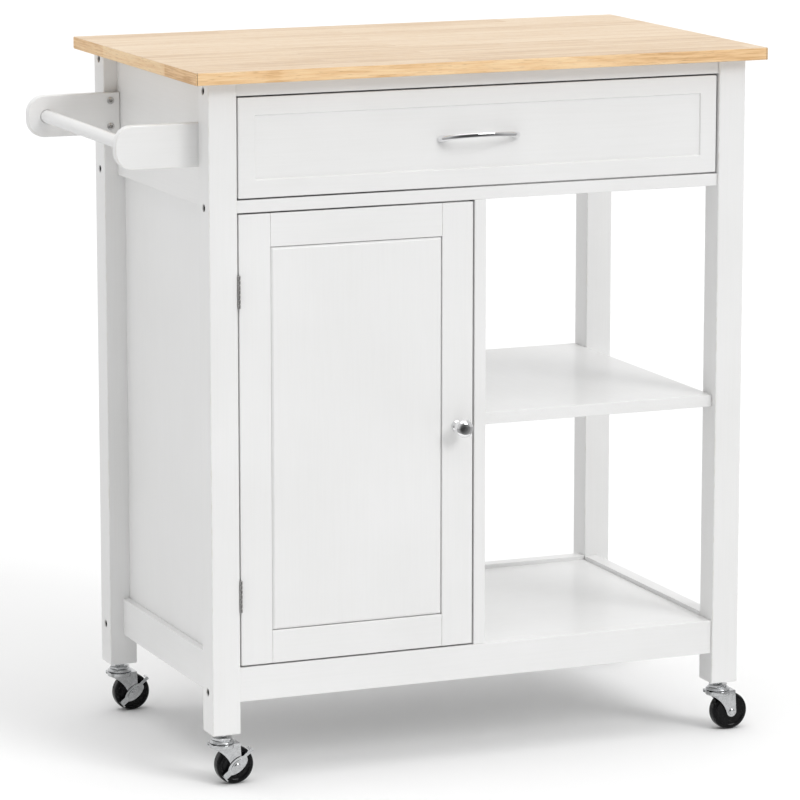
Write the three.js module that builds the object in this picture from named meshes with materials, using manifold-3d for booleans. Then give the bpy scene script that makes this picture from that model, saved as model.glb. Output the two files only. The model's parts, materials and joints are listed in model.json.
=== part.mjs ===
import * as THREE from 'three';
import { mergeVertices } from 'three/addons/utils/BufferGeometryUtils.js';
import Module from 'manifold-3d';

// A rolling kitchen cart: wooden worktop, white frame with a drawer, a cupboard on the left,
// an open bay on the right, a towel rack on the left side and four swivel casters.
// Millimetres, +Z up, front towards -Y, and +X to the right of someone facing the front.

// Driving dimensions
const TOTAL_HEIGHT = 863;
const TOP_WIDTH = 742;
const TOP_DEPTH = 450;
const TOP_THICKNESS = 15;
const FRAME_WIDTH = 700;
const FRAME_DEPTH = 414;
const LEG = 35.5;
const LEG_BOTTOM = 64;
const FRONT_INSET = 3;
const RAIL_INSET = 17.5;
const RAIL_THICKNESS = 18;
const BOARD = 15;
const GAP = 0.3;

const BOTTOM_RAIL_LOW = 103;
const SHELF_TOP = 145;
const SIDE_RAIL_TOP = 150;
const MIDDLE_RAIL_LOW = 693.5;
const TOP_RAIL_LOW = 831.5;
const MIDDLE_SHELF_TOP = 431.5;
const CABINET_SHELF_TOP = 417;
const DIVIDER_RIGHT = 5.5;

const FRONT_CLEARANCE = 2;
const DRAWER_FRONT_WIDTH = 624;
const DRAWER_MARGIN = 21;
const DRAWER_RECESS = 2;
const DRAWER_SIDE = 12;
const DRAWER_OUTER = 302;
const DRAWER_LOW = 718;
const DRAWER_HIGH = 808;
const DRAWER_BACK = 150;
const DOOR_LEFT = -312;
const DOOR_RIGHT = -11.8;
const DOOR_FRAME = 40;
const DOOR_PANEL_RECESS = 1;
const DOOR_PANEL_THICKNESS = 10;
const KNOB_REACH = 27.5;

const HINGE_LENGTH = 40;
const HINGE_HEIGHTS = { upper: 580.5, lower: 213 };
const BARREL_RADIUS = 1.7;

const RACK_REACH = 452;
const RACK_BOARD = 12;
const RACK_LOW = 746.5;
const RACK_HIGH = 798.5;
const RACK_CORNER = 22;
const BAR_X = -428;
const BAR_RADIUS = 8;

const WHEEL_RADIUS = 23.5;
const WHEEL_WIDTH = 18;
const TRAIL = 14.5;
const BRIDGE_TOP = 51;
const BRIDGE_BOTTOM = 49.4;
const CHEEK_OUTER = 11.2;
const CHEEK_INNER = 9.6;
const NUT_LOW = 55.3;
const NUT_HIGH = 59;

const PULL_X = -4;
const PULL_Z = 768;

// Planes worked out from the driving dimensions
const TOP_UNDERSIDE = TOTAL_HEIGHT - TOP_THICKNESS;
const LEG_X = FRAME_WIDTH / 2 - LEG / 2;
const LEG_Y = FRAME_DEPTH / 2 - LEG / 2;
const INNER_X = FRAME_WIDTH / 2 - LEG;
const INNER_Y = FRAME_DEPTH / 2 - LEG;
const RAIL_X = FRAME_WIDTH / 2 - RAIL_INSET;
const RAIL_Y = FRAME_DEPTH / 2 - RAIL_INSET;
const FACE_Y = -FRAME_DEPTH / 2 + FRONT_INSET;
const RAIL_BACK_Y = FACE_Y + RAIL_THICKNESS;
const FRONT_BACK_Y = FACE_Y + BOARD;
const MIDDLE_RAIL_TOP = MIDDLE_RAIL_LOW + BOARD;
const DIVIDER_LEFT = DIVIDER_RIGHT - BOARD;
const DOOR_LOW = SHELF_TOP + FRONT_CLEARANCE;
const DOOR_HIGH = MIDDLE_RAIL_LOW - FRONT_CLEARANCE;
const HINGE_X = (DOOR_LEFT - INNER_X) / 2;
const HINGE_Y = -FRAME_DEPTH / 2 - 1.2;
const KNOB_X = DOOR_RIGHT - DOOR_FRAME / 2;
const KNOB_Z = (DOOR_LOW + DOOR_HIGH) / 2;
const ORIGIN_X = (TOP_WIDTH / 2 - RACK_REACH) / 2;
const ORIGIN_Y = (FACE_Y - KNOB_REACH + TOP_DEPTH / 2) / 2;

const wasm = await Module();
wasm.setup();

const white = finish(0xe8e8e8, 0.45, 0);
const wood = finish(0xe8b878, 0.5, 0);
const chrome = finish(0xd8d8d8, 0.12, 1);
const zinc = finish(0xb8b8b8, 0.35, 1);
const steel = finish(0x909090, 0.4, 1);
const black = finish(0x101010, 0.25, 0);

const cart = new THREE.Group();

function finish(color, roughness, metalness) {
  return new THREE.MeshStandardMaterial({ color, roughness, metalness });
}

// Each mesh has a material of its own.
function addPart(name, geometry, material) {
  const mesh = new THREE.Mesh(geometry, material.clone());
  mesh.name = name;
  cart.add(mesh);
  return mesh;
}

// A box between two corners.
function slab(low, high) {
  const size = high.map((value, axis) => value - low[axis]);
  const box = new THREE.BoxGeometry(...size);
  box.translate(...high.map((value, axis) => (value + low[axis]) / 2));
  return box;
}

function addSlab(name, low, high, material = white) {
  return addPart(name, slab(low, high), material);
}

// A cylinder with its axis along x, y or z, between two places on that axis.
function rod(axis, radius, from, to, segments = 16) {
  const shape = new THREE.CylinderGeometry(radius, radius, to - from, segments);
  const middle = (from + to) / 2;
  if (axis === 'x') shape.rotateZ(Math.PI / 2).translate(middle, 0, 0);
  if (axis === 'y') shape.translate(0, middle, 0);
  if (axis === 'z') shape.rotateX(Math.PI / 2).translate(0, 0, middle);
  return shape;
}

function solid(geometry) {
  const bare = geometry.index ? geometry.toNonIndexed() : geometry.clone();
  bare.deleteAttribute('normal');
  bare.deleteAttribute('uv');
  const merged = mergeVertices(bare, 1e-4);
  return new wasm.Manifold(new wasm.Mesh({
    numProp: 3,
    vertProperties: new Float32Array(merged.attributes.position.array),
    triVerts: new Uint32Array(merged.index.array),
  }));
}

function toGeometry(manifold) {
  const mesh = manifold.getMesh();
  const geometry = new THREE.BufferGeometry();
  geometry.setAttribute('position', new THREE.BufferAttribute(mesh.vertProperties, 3));
  geometry.setIndex(new THREE.BufferAttribute(mesh.triVerts, 1));
  return geometry;
}

// Joins the added shapes and then cuts the others away.
function carve(added, cut = []) {
  let body = solid(added[0]);
  for (const piece of added.slice(1)) body = body.add(solid(piece));
  for (const piece of cut) body = body.subtract(solid(piece));
  return toGeometry(body);
}

// A closed outline in the XZ plane, pulled out along Y between two places.
function plateAlongY(shape, from, to, curveSegments = 8) {
  const plate = new THREE.ExtrudeGeometry(shape, { depth: to - from, bevelEnabled: false, curveSegments });
  return plate.rotateX(Math.PI / 2).translate(0, to, 0);
}

function addWorktop() {
  const low = [-TOP_WIDTH / 2, -TOP_DEPTH / 2, TOP_UNDERSIDE];
  addSlab('worktop', low, [TOP_WIDTH / 2, TOP_DEPTH / 2, TOTAL_HEIGHT], wood);
}

// Square posts with a bore for the caster stem and three recessed bolt holes in the outer face.
function addLegs() {
  const boltHeights = [115, 700, 838];
  const boltRadius = 4.5;
  const boltDepth = 9;
  const stemBore = 5;
  const stemDepth = 34;
  for (const [side, sx] of [['left', -1], ['right', 1]]) {
    for (const [end, sy] of [['front', -1], ['back', 1]]) {
      const x = sx * LEG_X;
      const y = sy * LEG_Y;
      const half = LEG / 2;
      const post = slab([x - half, y - half, LEG_BOTTOM], [x + half, y + half, TOP_UNDERSIDE]);
      const bore = rod('z', stemBore, LEG_BOTTOM - 1, LEG_BOTTOM + stemDepth).translate(x, y, 0);
      const face = sx * FRAME_WIDTH / 2;
      const holes = boltHeights.map((z) => rod('x', boltRadius, -boltDepth, boltDepth).translate(face, y, z));
      addPart(`leg_${end}_${side}`, carve([post], [bore, ...holes]), white);
    }
  }
}

function addFrontRails() {
  const rows = {
    front_bottom_rail: [BOTTOM_RAIL_LOW, SHELF_TOP],
    front_middle_rail: [MIDDLE_RAIL_LOW, MIDDLE_RAIL_TOP],
    front_top_rail: [TOP_RAIL_LOW, TOP_UNDERSIDE],
  };
  for (const [name, [low, high]] of Object.entries(rows)) {
    addSlab(name, [-INNER_X, FACE_Y, low], [INNER_X, RAIL_BACK_Y, high]);
  }
}

// Rails between the legs at the sides and the back, flush with the legs' inner faces.
function addSideAndBackRails() {
  const rows = { bottom: [BOTTOM_RAIL_LOW, SIDE_RAIL_TOP], top: [MIDDLE_RAIL_LOW, TOP_UNDERSIDE] };
  for (const [row, [low, high]] of Object.entries(rows)) {
    addSlab(`left_${row}_rail`, [-RAIL_X, -INNER_Y, low], [-INNER_X, INNER_Y, high]);
    addSlab(`right_${row}_rail`, [INNER_X, -INNER_Y, low], [RAIL_X, INNER_Y, high]);
    addSlab(`back_${row}_rail`, [-INNER_X, INNER_Y, low], [INNER_X, RAIL_Y, high]);
  }
}

function addPanelsAndShelves() {
  const panel = 9;
  const cabinetShelf = 12;
  const cabinetShelfFront = -160;
  const panelLow = [-INNER_X - panel, -INNER_Y, SIDE_RAIL_TOP];
  addSlab('left_side_panel', panelLow, [-INNER_X, INNER_Y, MIDDLE_RAIL_LOW]);
  const backHigh = [DIVIDER_RIGHT, INNER_Y + panel, MIDDLE_RAIL_LOW];
  addSlab('cabinet_back_panel', [-INNER_X, INNER_Y, SIDE_RAIL_TOP], backHigh);
  addSlab('divider_panel', [DIVIDER_LEFT, FACE_Y, SHELF_TOP], [DIVIDER_RIGHT, INNER_Y, MIDDLE_RAIL_LOW]);
  addSlab('bottom_shelf', [-INNER_X, RAIL_BACK_Y, SHELF_TOP - BOARD], [INNER_X, INNER_Y, SHELF_TOP]);
  const baySet = 9;
  const bayBack = FRAME_DEPTH / 2 - 2;
  const bayLow = [DIVIDER_RIGHT, -FRAME_DEPTH / 2 + baySet, MIDDLE_SHELF_TOP - BOARD];
  addSlab('middle_shelf', bayLow, [INNER_X, bayBack, MIDDLE_SHELF_TOP]);
  const shelfLow = [-INNER_X, cabinetShelfFront, CABINET_SHELF_TOP - cabinetShelf];
  addSlab('cabinet_shelf', shelfLow, [DIVIDER_LEFT, INNER_Y, CABINET_SHELF_TOP]);
}

// Drawer front with a shallow flat recess inside an even margin.
function addDrawerFront() {
  const half = DRAWER_FRONT_WIDTH / 2;
  const low = MIDDLE_RAIL_TOP + FRONT_CLEARANCE;
  const high = TOP_RAIL_LOW - FRONT_CLEARANCE;
  const board = slab([-half, FACE_Y, low], [half, FRONT_BACK_Y, high]);
  const recessLow = [-half + DRAWER_MARGIN, FACE_Y - 1, low + DRAWER_MARGIN];
  const recessHigh = [half - DRAWER_MARGIN, FACE_Y + DRAWER_RECESS, high - DRAWER_MARGIN];
  addPart('drawer_front', carve([board], [slab(recessLow, recessHigh)]), white);
}

function addDrawerBox() {
  const inside = DRAWER_OUTER - DRAWER_SIDE;
  const bottomLow = DRAWER_LOW + 4;
  const bottomThickness = 4;
  const backInside = DRAWER_BACK - DRAWER_SIDE;
  const front = FRONT_BACK_Y;
  addSlab('drawer_side_left', [-DRAWER_OUTER, front, DRAWER_LOW], [-inside, DRAWER_BACK, DRAWER_HIGH]);
  addSlab('drawer_side_right', [inside, front, DRAWER_LOW], [DRAWER_OUTER, DRAWER_BACK, DRAWER_HIGH]);
  addSlab('drawer_back', [-inside, backInside, DRAWER_LOW], [inside, DRAWER_BACK, DRAWER_HIGH]);
  const bottomHigh = [inside, backInside, bottomLow + bottomThickness];
  addSlab('drawer_bottom', [-inside, front, bottomLow], bottomHigh);
}

// A C-shaped channel along Y: its web is at webX and its two lips reach towards lipX.
function channel(webX, lipX, low, high, from, to) {
  const wall = 1.2;
  const towards = Math.sign(lipX - webX);
  const inner = webX + towards * wall;
  const shape = new THREE.Shape();
  shape.moveTo(webX, -low);
  shape.lineTo(lipX, -low);
  shape.lineTo(lipX, -low - wall);
  shape.lineTo(inner, -low - wall);
  shape.lineTo(inner, -high + wall);
  shape.lineTo(lipX, -high + wall);
  shape.lineTo(lipX, -high);
  shape.lineTo(webX, -high);
  shape.closePath();
  const bar = new THREE.ExtrudeGeometry(shape, { depth: to - from, bevelEnabled: false });
  return bar.rotateX(-Math.PI / 2).translate(0, from, 0);
}

// Two-part slides: the outer member is on the carcass, the inner one on the drawer's side.
function addRunners() {
  const low = 748;
  const high = 783;
  const nest = 2.2;
  const front = RAIL_BACK_Y + 2;
  const outerBack = 160;
  const outerDepth = 9.5;
  const innerStandOff = 3;
  for (const [side, s] of [['left', -1], ['right', 1]]) {
    const outer = channel(s * INNER_X, s * (INNER_X - outerDepth), low, high, front, outerBack);
    addPart(`runner_${side}_outer`, outer, zinc);
    const lip = s * (INNER_X - innerStandOff);
    const inner = channel(s * DRAWER_OUTER, lip, low + nest, high - nest, front, DRAWER_BACK);
    addPart(`runner_${side}_inner`, inner, zinc);
  }
}

// Bow handle: a strap that bows forwards and upwards between two taller feet on the drawer's recessed face.
function addPull() {
  const reach = 54;
  const foot = 11;
  const depth = 26;
  const strap = 3.5;
  const face = FACE_Y + DRAWER_RECESS;
  const outerY = face - depth * 4 / 3;
  const innerY = face - (depth - strap) * 4 / 3;
  const plan = new THREE.Shape();
  plan.moveTo(-reach, face);
  plan.bezierCurveTo(-reach * 0.9, outerY, reach * 0.9, outerY, reach, face);
  plan.lineTo(reach - foot, face);
  plan.bezierCurveTo(reach * 0.75, innerY, -reach * 0.75, innerY, -reach + foot, face);
  plan.closePath();
  const footHalf = 4.5;
  const undersideControl = 11.5;
  const topControl = 13.5;
  const elevation = new THREE.Shape();
  elevation.moveTo(-reach - 1, -footHalf);
  elevation.quadraticCurveTo(0, undersideControl, reach + 1, -footHalf);
  elevation.lineTo(reach + 1, footHalf);
  elevation.quadraticCurveTo(0, topControl, -reach - 1, footHalf);
  elevation.closePath();
  const bow = new THREE.ExtrudeGeometry(plan, { depth: 40, bevelEnabled: false, curveSegments: 14 });
  const arch = new THREE.ExtrudeGeometry(elevation, { depth: 40, bevelEnabled: false, curveSegments: 10 });
  arch.rotateX(Math.PI / 2).translate(0, face + 5, 0);
  const strapSolid = solid(bow.translate(0, 0, -20)).intersect(solid(arch));
  addPart('drawer_pull', toGeometry(strapSolid).translate(PULL_X, 0, PULL_Z), chrome);
}

// Frame-and-panel door.
function addDoor() {
  const back = FRONT_BACK_Y;
  const left = DOOR_LEFT + DOOR_FRAME;
  const right = DOOR_RIGHT - DOOR_FRAME;
  const low = DOOR_LOW + DOOR_FRAME;
  const high = DOOR_HIGH - DOOR_FRAME;
  addSlab('door_stile_hinge_side', [DOOR_LEFT, FACE_Y, DOOR_LOW], [left, back, DOOR_HIGH]);
  addSlab('door_stile_knob_side', [right, FACE_Y, DOOR_LOW], [DOOR_RIGHT, back, DOOR_HIGH]);
  addSlab('door_rail_top', [left, FACE_Y, high], [right, back, DOOR_HIGH]);
  addSlab('door_rail_bottom', [left, FACE_Y, DOOR_LOW], [right, back, low]);
  const panelFront = FACE_Y + DOOR_PANEL_RECESS;
  addSlab('door_panel', [left, panelFront, low], [right, panelFront + DOOR_PANEL_THICKNESS, high]);
}

// Turned knob: a flared base, a neck and a domed head.
function addKnob() {
  const profile = [
    [0, 0], [8, 0], [7.4, 2.4], [4.6, 6], [4.2, 12], [6, 15.5],
    [10.4, 18], [11.5, 20.5], [10.8, 23.5], [7.6, 26.2], [0, KNOB_REACH],
  ];
  const points = profile.map(([radius, out]) => new THREE.Vector2(radius, out));
  const knob = new THREE.LatheGeometry(points, 24);
  knob.rotateX(Math.PI).translate(KNOB_X, FACE_Y, KNOB_Z);
  addPart('door_knob', knob, chrome);
}

// Butt hinges: three knuckles and the pin belong to the frame leaf, two knuckles to the door leaf.
function addHinges() {
  const knuckle = HINGE_LENGTH / 5;
  const leaf = 0.9;
  const pin = 0.75;
  const pinBore = pin + GAP;
  for (const [place, low] of Object.entries(HINGE_HEIGHTS)) {
    const frameParts = [];
    const doorParts = [];
    const atBarrel = (radius, from, to) => rod('z', radius, from, to, 12).translate(HINGE_X, HINGE_Y, 0);
    const frameLeaf = slab([-INNER_X, HINGE_Y, low], [-INNER_X + leaf, FRONT_BACK_Y, low + HINGE_LENGTH]);
    const doorLeaf = slab([DOOR_LEFT - leaf, HINGE_Y, low], [DOOR_LEFT, FRONT_BACK_Y, low + HINGE_LENGTH]);
    const frameCuts = [];
    const doorCuts = [];
    for (let i = 0; i < 5; i += 1) {
      const from = low + i * knuckle + GAP / 2;
      const to = low + (i + 1) * knuckle - GAP / 2;
      const isFrame = i % 2 === 0;
      (isFrame ? frameParts : doorParts).push(atBarrel(BARREL_RADIUS, from, to));
      (isFrame ? doorCuts : frameCuts).push(atBarrel(BARREL_RADIUS + GAP, from - GAP, to + GAP));
    }
    const bore = atBarrel(pinBore, low - 1, low + HINGE_LENGTH + 1);
    const pinRod = atBarrel(pin, low, low + HINGE_LENGTH);
    const frameBody = carve([carve([frameLeaf], frameCuts), ...frameParts, pinRod]);
    addPart(`hinge_${place}_frame_leaf`, frameBody, steel);
    addPart(`hinge_${place}_door_leaf`, carve([carve([doorLeaf], doorCuts), ...doorParts], [bore]), steel);
  }
}

// Magnetic catch on the divider and the steel plate that it holds on the door.
function addCatch() {
  const low = 643;
  const high = 675;
  const thickness = 11;
  const plate = 1;
  const face = FRONT_BACK_Y + plate + GAP;
  addSlab('door_catch', [DIVIDER_LEFT - thickness, face, low], [DIVIDER_LEFT, face + 18, high]);
  const inset = 4;
  const strikeLow = [DOOR_RIGHT - 14, FRONT_BACK_Y, low + inset];
  addSlab('catch_strike', strikeLow, [DOOR_RIGHT - 2, FRONT_BACK_Y + plate, high - inset], zinc);
}

// Towel rack: two boards with round outer corners, and a round bar let into sockets in them.
function addRack() {
  const inner = -RAIL_X - GAP;
  const cornerX = -RACK_REACH + RACK_CORNER;
  const quarter = Math.PI / 2;
  const outline = new THREE.Shape();
  outline.moveTo(inner, -RACK_LOW);
  outline.lineTo(cornerX, -RACK_LOW);
  outline.absarc(cornerX, -RACK_LOW - RACK_CORNER, RACK_CORNER, quarter, 2 * quarter, false);
  outline.absarc(cornerX, -RACK_HIGH + RACK_CORNER, RACK_CORNER, 2 * quarter, 3 * quarter, false);
  outline.lineTo(inner, -RACK_HIGH);
  outline.closePath();
  const socketDepth = 6;
  const faceY = INNER_Y - RACK_BOARD;
  const barEnd = faceY + socketDepth;
  const barZ = (RACK_LOW + RACK_HIGH) / 2;
  const socket = rod('y', BAR_RADIUS + 0.5, -barEnd, barEnd, 24).translate(BAR_X, 0, barZ);
  const boardAt = (from) => new THREE.ExtrudeGeometry(outline, {
    depth: RACK_BOARD, bevelEnabled: false, curveSegments: 8,
  }).rotateX(-Math.PI / 2).translate(0, from, 0);
  addPart('rack_bracket_rear', carve([boardAt(faceY)], [socket]), white);
  addPart('rack_bracket_front', carve([boardAt(-INNER_Y)], [socket]), white);
  addPart('rack_bar', rod('y', BAR_RADIUS, -barEnd, barEnd, 24).translate(BAR_X, 0, barZ), white);
}

// The fixed top of a caster: stem, hexagonal nut, ball cup and riveted king pin.
function casterHead() {
  const profile = [
    [0, 46.4], [4.4, 46.4], [4.4, 48.9], [2.7, 48.9], [2.7, BRIDGE_TOP + GAP],
    [14.8, BRIDGE_TOP + GAP], [15.4, 52.2], [15.2, 53.4], [13.4, NUT_LOW], [6, NUT_LOW],
    [6, LEG_BOTTOM], [4.4, LEG_BOTTOM], [4.4, LEG_BOTTOM + 30], [0, LEG_BOTTOM + 30],
  ];
  const lathe = new THREE.LatheGeometry(profile.map(([r, z]) => new THREE.Vector2(r, z)), 20);
  lathe.rotateX(Math.PI / 2);
  const nut = rod('z', 13, NUT_LOW - 0.2, NUT_HIGH, 6);
  return carve([lathe, nut]);
}

// The fork seen from the side: a swept cheek that narrows to a round end at the axle.
function cheekOutline() {
  const tip = 6.5;
  const lean = 0.4;
  const shape = new THREE.Shape();
  shape.moveTo(-15, -BRIDGE_TOP);
  shape.lineTo(TRAIL + 5, -BRIDGE_TOP);
  shape.lineTo(TRAIL + tip, -WHEEL_RADIUS);
  shape.absarc(TRAIL, -WHEEL_RADIUS, tip, 0, Math.PI - lean, false);
  shape.quadraticCurveTo(4, -38.5, -15, -47);
  shape.closePath();
  return shape;
}

// Two cheeks under a bridge, with a round skirt that is open only where the wheel rises into it.
function casterFork(brakeSide) {
  const skirtLow = 45.5;
  const skirtRadius = 15.6;
  const hollowRadius = 14.2;
  const pinBoreRadius = 3;
  const axleRadius = 2.8;
  const rivetRadius = 4;
  const rivet = 1.4;
  const leverSpace = 2.2;
  const solidCheeks = new THREE.ExtrudeGeometry(cheekOutline(), {
    depth: 2 * CHEEK_OUTER, bevelEnabled: false, curveSegments: 6,
  }).rotateX(-Math.PI / 2).translate(0, -CHEEK_OUTER, 0);
  const cheeks = carve([solidCheeks], [slab([-30, -CHEEK_INNER, 0], [60, CHEEK_INNER, BRIDGE_BOTTOM])]);
  const hollow = rod('z', hollowRadius, skirtLow - 5, BRIDGE_BOTTOM, 24);
  const wheelGap = slab([0, -CHEEK_INNER, 0], [60, CHEEK_INNER, BRIDGE_BOTTOM]);
  const skirt = carve([rod('z', skirtRadius, skirtLow, BRIDGE_TOP, 24)], [hollow, wheelGap]);
  const shell = carve([cheeks, skirt], [rod('z', pinBoreRadius, 40, 60, 20)]);
  const far = CHEEK_OUTER + rivet;
  const near = -far - (brakeSide ? leverSpace : 0);
  const atAxle = (radius, from, to) => rod('y', radius, from, to, 16).translate(TRAIL, 0, WHEEL_RADIUS);
  const axle = atAxle(axleRadius, near, far);
  const farHead = atAxle(rivetRadius, CHEEK_OUTER, far);
  const nearHead = atAxle(rivetRadius, near, near + rivet);
  return carve([shell, axle, farHead, nearHead]);
}

// Rounded wheel with a bore that runs on the axle. A flat facet of the tread faces the floor.
function casterWheel() {
  const segments = 32;
  const tread = WHEEL_RADIUS / Math.cos(Math.PI / segments);
  const half = WHEEL_WIDTH / 2;
  const bore = 3.2;
  const profile = [
    [bore, -half], [tread - 2.6, -half], [tread - 0.8, -half + 0.8], [tread, -half + 2.6],
    [tread, half - 2.6], [tread - 0.8, half - 0.8], [tread - 2.6, half], [bore, half], [bore, -half],
  ];
  const wheel = new THREE.LatheGeometry(profile.map(([r, y]) => new THREE.Vector2(r, y)), segments);
  return wheel.rotateY(Math.PI / segments).translate(TRAIL, 0, WHEEL_RADIUS);
}

// Stamped brake lever: an oval plate on the axle, a flange that reaches over the tread, and a toe lip.
function brakeLever() {
  const steelThickness = 1.4;
  const plateIn = -CHEEK_OUTER - GAP;
  const plateOut = plateIn - steelThickness;
  const tilt = 0.68;
  const oval = new THREE.Shape();
  oval.absellipse(1, 0, 15, 7.8, 0, 2 * Math.PI, false, 0);
  const plate = new THREE.ExtrudeGeometry(oval, {
    depth: steelThickness, bevelEnabled: false, curveSegments: 8,
  });
  plate.rotateX(-Math.PI / 2).translate(0, plateOut, 0);
  const flangeEnd = 26.8;
  const flangeStart = 24.4;
  const armTop = 4.4;
  const toeEnd = -21.5;
  const lipOut = 4;
  const neck = slab([10, plateOut, 0.4], [flangeEnd, plateIn, armTop]);
  const flange = slab([flangeStart, plateOut, armTop - steelThickness], [flangeEnd, -2.5, armTop]);
  const toeNeck = slab([toeEnd, plateOut, -3.6], [-8, plateIn, 3.6]);
  const toeLip = slab([toeEnd, plateOut - lipOut, -4.5], [toeEnd + steelThickness, plateIn, 4.5]);
  const bore = rod('y', 3.1, -20, 20, 20);
  const lever = carve([plate, neck, flange, toeNeck, toeLip], [bore]);
  return lever.rotateY(-tilt).translate(TRAIL, 0, WHEEL_RADIUS);
}

function addCasters() {
  const corners = {
    front_left: [-LEG_X, -LEG_Y], back_left: [-LEG_X, LEG_Y],
    front_right: [LEG_X, -LEG_Y], back_right: [LEG_X, LEG_Y],
  };
  for (const [corner, [x, y]] of Object.entries(corners)) {
    const braked = x < 0;
    const pieces = {
      head: [casterHead(), zinc],
      fork: [casterFork(braked), zinc],
      wheel: [casterWheel(), black],
    };
    if (braked) pieces.brake = [brakeLever(), zinc];
    for (const [piece, [geometry, material]] of Object.entries(pieces)) {
      addPart(`caster_${corner}_${piece}`, geometry, material).position.set(x, y, 0);
    }
  }
}

addWorktop();
addLegs();
addFrontRails();
addSideAndBackRails();
addPanelsAndShelves();
addDrawerFront();
addDrawerBox();
addRunners();
addPull();
addDoor();
addKnob();
addHinges();
addCatch();
addRack();
addCasters();

// The origin is on the floor under the middle of the whole cart, rack and knob included.
cart.position.set(-ORIGIN_X, -ORIGIN_Y, 0);

export default cart;
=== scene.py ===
import json
import math

import bmesh
import bpy
from mathutils import Matrix, Vector


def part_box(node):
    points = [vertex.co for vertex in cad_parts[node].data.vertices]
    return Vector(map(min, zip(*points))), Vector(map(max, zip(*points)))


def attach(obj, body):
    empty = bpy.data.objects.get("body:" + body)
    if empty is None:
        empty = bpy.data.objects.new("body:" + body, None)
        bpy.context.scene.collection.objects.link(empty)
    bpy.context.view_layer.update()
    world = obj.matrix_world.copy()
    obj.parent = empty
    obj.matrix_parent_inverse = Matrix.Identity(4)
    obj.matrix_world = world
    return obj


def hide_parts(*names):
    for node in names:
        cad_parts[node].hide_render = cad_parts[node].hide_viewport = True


# A rolling kitchen cart. Metres, +Z up, front towards -Y, +X to the right of someone facing the front.
# Every piece is built in place in the row frame, so its object coordinates are the frame's own.
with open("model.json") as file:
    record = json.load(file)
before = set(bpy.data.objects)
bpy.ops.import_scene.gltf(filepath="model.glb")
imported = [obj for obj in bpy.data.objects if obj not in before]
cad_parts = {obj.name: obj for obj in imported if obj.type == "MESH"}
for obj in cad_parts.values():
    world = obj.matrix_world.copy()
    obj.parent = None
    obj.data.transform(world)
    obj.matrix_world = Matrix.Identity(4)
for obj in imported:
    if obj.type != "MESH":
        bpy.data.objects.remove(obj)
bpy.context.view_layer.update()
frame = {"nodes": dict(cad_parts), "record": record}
MM = 0.001

RECORD = frame["record"]
SLOT_OF = {part["node"]: part["material_slot"] for part in RECORD["subparts"]}
BODY_OF = {node: body for body, nodes in RECORD["behaviour"]["bodies"].items() for node in nodes}

# Camera
VIEW_AZIMUTH = -22.57
VIEW_ELEVATION = 10.67
VIEW_DISTANCE = 5.43
VIEW_AIM = Vector((0.0184, 0.0033, 0.4145))
VIEW_LENS = 195.1

# Worktop planks
STAVE_LENGTH = 0.39
STAVE_WIDTH = 0.047
STAVE_STAGGER = 0.37
FINGER_JOINT_SHARE = 0.13

# Fittings whose places the frame's boxes don't give
LEG_BOLT_HEIGHTS = (0.115, 0.700, 0.838)
LEG_BOLT_RADIUS = 4.5 * MM
LEG_BOLT_DEPTH = 9 * MM
STEM_BORE_RADIUS = 5 * MM
STEM_BORE_DEPTH = 34 * MM
DRAWER_MARGIN = 21 * MM
DRAWER_RECESS = 2 * MM
RACK_CORNER = 22 * MM

# Edge rounding
WORKTOP_ROUND = 0.9 * MM
LEG_ROUND = 1.6 * MM
RAIL_ROUND = 0.7 * MM
SHELF_ROUND = 0.8 * MM
THIN_PANEL_ROUND = 0.4 * MM
DRAWER_BOX_ROUND = 1.2 * MM
DRAWER_BOTTOM_ROUND = 0.3 * MM
DOOR_BOARD_ROUND = 0.9 * MM
RACK_ROUND = 1.6 * MM

# Caster shapes are in millimetres about the stem's axis on the floor, with the wheel trailing to +X
AXLE_HEIGHT = 23.5
AXLE_TRAIL = 14.5
CHEEK_OUTER = 11.2
CHEEK_INNER = 9.6
BRIDGE_TOP = 51
BRIDGE_BOTTOM = 49.4
BRAKE_TILT = 0.68


# ---------------------------------------------------------------- materials

def set_stops(ramp_node, stops):
    """Gives a colour ramp these (place, colour) stops."""
    elements = ramp_node.color_ramp.elements
    while len(elements) < len(stops):
        elements.new(0.5)
    for element, (place, colour) in zip(elements, stops):
        element.position = place
        element.color = (*colour, 1)


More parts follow.
